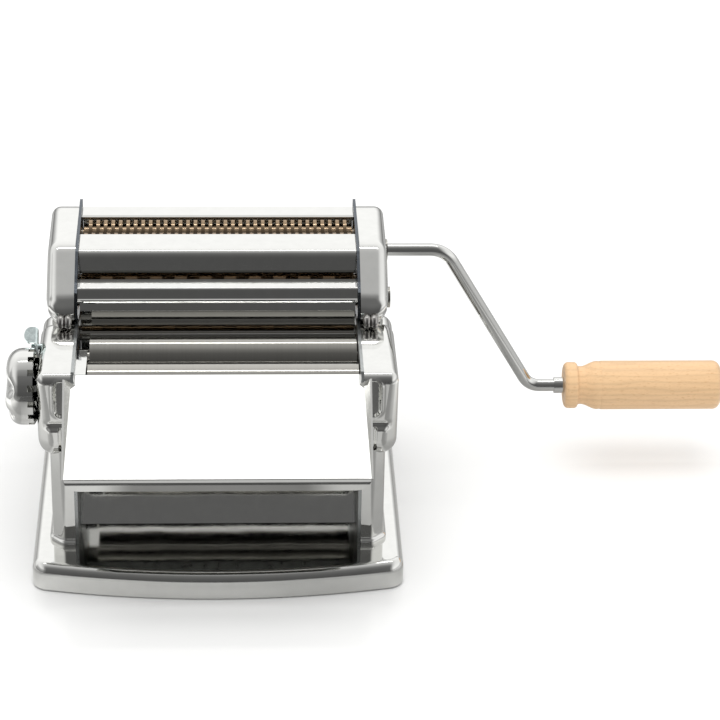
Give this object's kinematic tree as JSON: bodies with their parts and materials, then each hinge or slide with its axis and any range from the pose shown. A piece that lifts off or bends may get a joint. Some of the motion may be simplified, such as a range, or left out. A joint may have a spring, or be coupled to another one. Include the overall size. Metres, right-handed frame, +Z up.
{
  "type": "pasta machine",
  "caption": "Hand cranked pasta machine with smooth rollers, a dough tray, a lift-off cutter for two noodle widths, a thickness dial and a bent crank with a wooden grip.",
  "frame": {"origin": "middle of the base, on the table under the feet", "axes": "+X towards the crank, +Y from the dough tray to the cutter attachment, +Z up"},
  "size_m": [0.3831, 0.1987, 0.1475],
  "materials": {
    "chrome": "polished",
    "zinc": "bright zinc plated",
    "steel": "turned and polished",
    "gear_steel": "machined",
    "frame_steel": "zinc plated sheet",
    "bronze": "plain bearing bronze",
    "rubber": "matt",
    "beech": "turned, oiled beech"
  },
  "bodies": {
    "body": {"base_plate": "chrome", "base_feet": "rubber", "side_plate_left": "frame_steel", "side_plate_right": "frame_steel", "leg_shell_left": "chrome", "leg_shell_right": "chrome", "side_cover_left": "chrome", "side_cover_right": "chrome", "leg_fasteners": "zinc", "cover_screws": "zinc", "cover_pillars": "steel", "tie_rods": "steel", "tie_nuts": "zinc", "chute_plate": "chrome", "rear_panel": "chrome", "body_bushes": "bronze", "dial_bracket": "frame_steel", "lever_pivot": "zinc", "roller_end_guide": "chrome", "tray_studs": "zinc", "scrapers": "frame_steel"},
    "drive": {"drive_shaft": "steel", "drive_pinion": "gear_steel"},
    "rear_roller": {"rear_roller": "steel", "rear_roller_gear": "gear_steel"},
    "front_roller": {"front_roller": "steel", "front_roller_gear": "gear_steel"},
    "carriage": {"bearing_block_left": "frame_steel", "bearing_block_right": "frame_steel", "carriage_bar": "frame_steel"},
    "dial": {"dial_knob": "chrome", "dial_shaft": "steel"},
    "lever": {"lock_lever": "zinc"},
    "tray": {"dough_tray": "chrome"},
    "cutter_attachment": {"cutter_end_plate_left": "chrome", "cutter_end_plate_right": "chrome", "cutter_end_cover_left": "chrome", "cutter_end_cover_right": "chrome", "cutter_screws": "zinc", "cutter_pillars": "steel", "cutter_rods": "steel", "cutter_bushes": "bronze", "rear_hood": "chrome", "middle_hood": "chrome", "front_hood": "chrome", "cutter_apron": "chrome", "fine_combs": "frame_steel", "wide_combs": "frame_steel", "cutter_hooks": "chrome"},
    "fine_front": {"fine_cutter_front": "steel", "fine_gear_front": "gear_steel"},
    "fine_rear": {"fine_cutter_rear": "steel", "fine_gear_rear": "gear_steel"},
    "wide_front": {"wide_cutter_front": "steel", "wide_gear_front": "gear_steel"},
    "wide_rear": {"wide_cutter_rear": "steel", "wide_gear_rear": "gear_steel"},
    "crank": {"crank_rod": "chrome", "grip_collar": "chrome"},
    "grip": {"crank_grip": "beech"}
  },
  "joints": [
    {"name": "drive_turn", "type": "hinge", "parent": "body", "child": "drive", "pos_m": [0, 0.00265, 0.0805], "axis": [1, 0, 0], "continuous": true},
    {"name": "rear_roller_turn", "type": "hinge", "parent": "body", "child": "rear_roller", "pos_m": [0, -0.0148, 0.0985], "axis": [1, 0, 0], "continuous": true},
    {"name": "dial_turn", "type": "hinge", "parent": "body", "child": "dial", "pos_m": [-0.098, -0.04405, 0.0997], "axis": [-1, 0, 0], "range_deg": [0, 120]},
    {"name": "carriage_slide", "type": "slide", "parent": "body", "child": "carriage", "axis": [0, 1, 0], "range_m": [0, 0.0019]},
    {"name": "front_roller_turn", "type": "hinge", "parent": "carriage", "child": "front_roller", "pos_m": [0, -0.045, 0.0985], "axis": [1, 0, 0], "continuous": true},
    {"name": "lever_tip", "type": "hinge", "parent": "body", "child": "lever", "pos_m": [-0.0926, -0.0256, 0.1126], "axis": [-1, 0, 0], "range_deg": [0, 18], "stiffness_Nm_per_rad": 0.02},
    {"name": "tray_lift", "type": "slide", "parent": "body", "child": "tray", "axis": [0, 0, 1], "range_m": [0, 0.03]},
    {"name": "cutter_lift", "type": "slide", "parent": "body", "child": "cutter_attachment", "axis": [0, 0, 1], "range_m": [0, 0.04]},
    {"name": "crank_turn", "type": "hinge", "parent": "cutter_attachment", "child": "fine_front", "pos_m": [0, 0.045, 0.133], "axis": [1, 0, 0], "continuous": true},
    {"name": "fine_rear_turn", "type": "hinge", "parent": "cutter_attachment", "child": "fine_rear", "pos_m": [0, 0.0618, 0.133], "axis": [1, 0, 0], "continuous": true},
    {"name": "wide_front_turn", "type": "hinge", "parent": "cutter_attachment", "child": "wide_front", "pos_m": [0, 0.01, 0.1226], "axis": [1, 0, 0], "continuous": true},
    {"name": "wide_rear_turn", "type": "hinge", "parent": "cutter_attachment", "child": "wide_rear", "pos_m": [0, 0.0268, 0.1226], "axis": [1, 0, 0], "continuous": true},
    {"name": "crank_pull", "type": "slide", "parent": "fine_front", "child": "crank", "axis": [1, 0, 0], "range_m": [0, 0.024]},
    {"name": "grip_turn", "type": "hinge", "parent": "crank", "child": "grip", "pos_m": [0, 0.045, 0.0497], "axis": [1, 0, 0], "continuous": true}
  ],
  "couplings": [
    {"joint": "rear_roller_turn", "follows": "drive_turn", "ratio": -0.71429},
    {"joint": "front_roller_turn", "follows": "drive_turn", "ratio": 0.71429},
    {"joint": "dial_turn", "follows": "carriage_slide", "rad_per_m": 1102.3},
    {"joint": "fine_rear_turn", "follows": "crank_turn", "ratio": -1},
    {"joint": "wide_rear_turn", "follows": "wide_front_turn", "ratio": -1}
  ]
}
